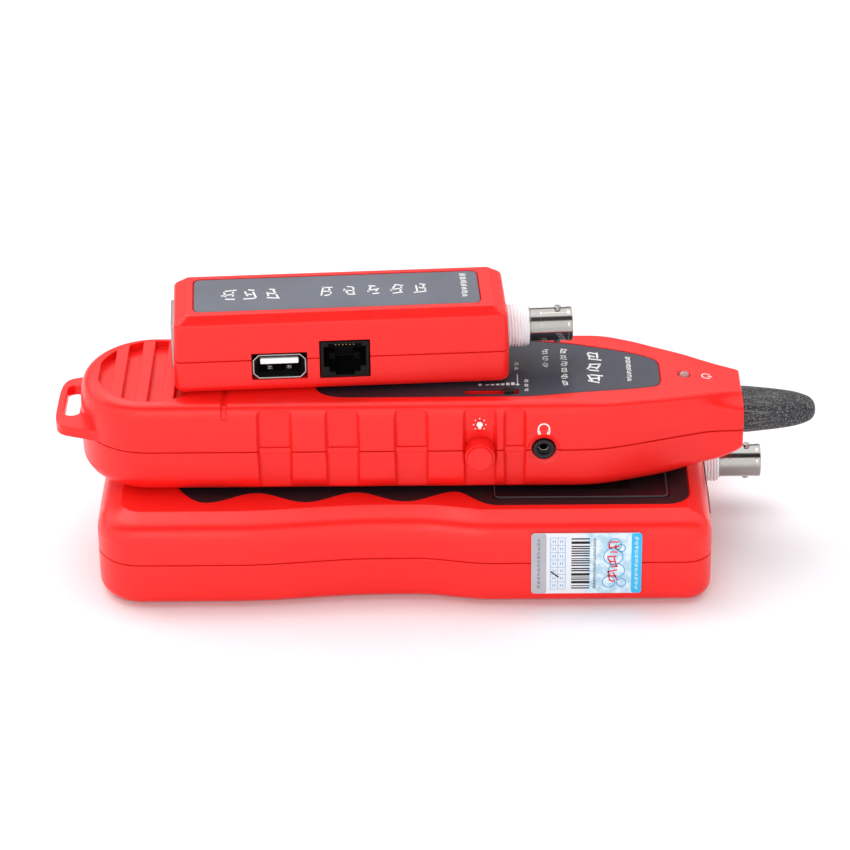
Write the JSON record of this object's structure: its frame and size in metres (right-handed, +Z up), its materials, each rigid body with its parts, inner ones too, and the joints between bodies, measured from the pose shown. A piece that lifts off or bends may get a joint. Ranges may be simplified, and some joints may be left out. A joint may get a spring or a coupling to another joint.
{
  "type": "cable tone probe kit",
  "caption": "Red handheld cable tone probe lying on its larger line tester, with a small remote adapter on top, stacked with faces up.",
  "frame": {"origin": "centre of the line tester's flat underside, on the surface it rests on", "axes": "+X along the tester towards its connector end and the probe's tip, +Y to the back, +Z up"},
  "size_m": [0.2183, 0.0803, 0.0798],
  "materials": {
    "red_plastic": "moulded red plastic, satin gloss",
    "label_film": "dark printed film, fine satin",
    "black_rubber": "black moulded rubber, fine lengthwise grain",
    "black_plastic": "black moulded plastic",
    "white_plastic": "white moulded plastic",
    "clear_plastic": "clear polished plastic",
    "nickel": "bright nickel plate",
    "steel": "plated sheet steel",
    "gold_plate": "gold-plated brass",
    "circuit_board": "green solder mask",
    "battery_wrap": "shrink-wrapped cell",
    "sticker_film": "printed sticker film"
  },
  "bodies": {
    "main_tester": {"tester_rear_cover": "red_plastic", "tester_front_cover": "red_plastic", "tester_face_label": "label_film", "tester_display_window": "clear_plastic", "tester_display_module": "black_plastic", "tester_main_board": "circuit_board", "tester_connector_board": "circuit_board", "tester_battery_1": "battery_wrap", "tester_battery_2": "battery_wrap", "tester_battery_3": "battery_wrap", "tester_battery_4": "battery_wrap", "tester_bnc_barrel": "nickel", "tester_bnc_contact": "gold_plate", "tester_bnc_dielectric": "white_plastic", "tester_bnc_housing": "white_plastic", "tester_rj11_jack": "black_plastic", "tester_rj45_jack": "steel", "tester_usb_shell": "steel", "tester_usb_tongue": "white_plastic", "tester_case_screw_1": "steel", "tester_case_screw_2": "steel", "tester_case_screw_3": "steel", "tester_case_screw_4": "steel", "inspection_sticker": "sticker_film"},
    "tester_battery_door": {"tester_battery_door": "red_plastic"},
    "key_power": {"key_power": "black_rubber"},
    "key_up": {"key_up": "black_rubber"},
    "key_down": {"key_down": "black_rubber"},
    "key_enter": {"key_enter": "black_rubber"},
    "key_back": {"key_back": "black_rubber"},
    "tone_probe": {"probe_top_cover": "red_plastic", "probe_bottom_cover": "red_plastic", "probe_face_label": "label_film", "probe_antenna_tip": "black_rubber", "probe_antenna_core": "steel", "probe_board": "circuit_board", "probe_battery": "battery_wrap", "probe_battery_clip": "black_plastic", "probe_sounder": "black_plastic", "power_lamp": "clear_plastic", "earphone_jack": "black_plastic", "sensitivity_pot": "steel", "probe_case_screw_1": "steel", "probe_case_screw_2": "steel"},
    "torch_button": {"torch_button": "red_plastic"},
    "sensitivity_slider": {"sensitivity_slider": "black_plastic"},
    "probe_battery_door": {"probe_battery_door": "red_plastic"},
    "remote_adapter": {"adapter_top_cover": "red_plastic", "adapter_bottom_cover": "red_plastic", "adapter_face_label": "label_film", "adapter_board": "circuit_board", "adapter_rj45_jack": "steel", "adapter_rj11_jack": "black_plastic", "adapter_usb_shell": "steel", "adapter_usb_tongue": "white_plastic", "adapter_bnc_barrel": "nickel", "adapter_bnc_contact": "gold_plate", "adapter_bnc_dielectric": "white_plastic", "adapter_bnc_housing": "white_plastic", "adapter_case_screw_1": "steel"}
  },
  "joints": [
    {"name": "probe_lift", "type": "slide", "parent": "main_tester", "child": "tone_probe", "axis": [0, 0, 1], "range_m": [0, 0.06]},
    {"name": "adapter_lift", "type": "slide", "parent": "tone_probe", "child": "remote_adapter", "axis": [0, 0, 1], "range_m": [0, 0.06]},
    {"name": "key_power_press", "type": "slide", "parent": "main_tester", "child": "key_power", "axis": [0, 0, -1], "range_m": [0, 0.0008], "stiffness_N_per_m": 900, "springref_m": -0.001},
    {"name": "key_up_press", "type": "slide", "parent": "main_tester", "child": "key_up", "axis": [0, 0, -1], "range_m": [0, 0.0008], "stiffness_N_per_m": 900, "springref_m": -0.001},
    {"name": "key_down_press", "type": "slide", "parent": "main_tester", "child": "key_down", "axis": [0, 0, -1], "range_m": [0, 0.0008], "stiffness_N_per_m": 900, "springref_m": -0.001},
    {"name": "key_enter_press", "type": "slide", "parent": "main_tester", "child": "key_enter", "axis": [0, 0, -1], "range_m": [0, 0.0008], "stiffness_N_per_m": 900, "springref_m": -0.001},
    {"name": "key_back_press", "type": "slide", "parent": "main_tester", "child": "key_back", "axis": [0, 0, -1], "range_m": [0, 0.0008], "stiffness_N_per_m": 900, "springref_m": -0.001},
    {"name": "torch_button_press", "type": "slide", "parent": "tone_probe", "child": "torch_button", "axis": [0, 1, 0], "range_m": [0, 0.0012], "stiffness_N_per_m": 900, "springref_m": -0.001},
    {"name": "sensitivity_slide", "type": "slide", "parent": "tone_probe", "child": "sensitivity_slider", "axis": [1, 0, 0], "range_m": [-0.0104, 0.0008]},
    {"name": "tester_door_slide", "type": "slide", "parent": "main_tester", "child": "tester_battery_door", "axis": [-1, 0, 0], "range_m": [0, 0.072]},
    {"name": "probe_door_slide", "type": "slide", "parent": "tone_probe", "child": "probe_battery_door", "axis": [-1, 0, 0], "range_m": [0, 0.054]}
  ]
}
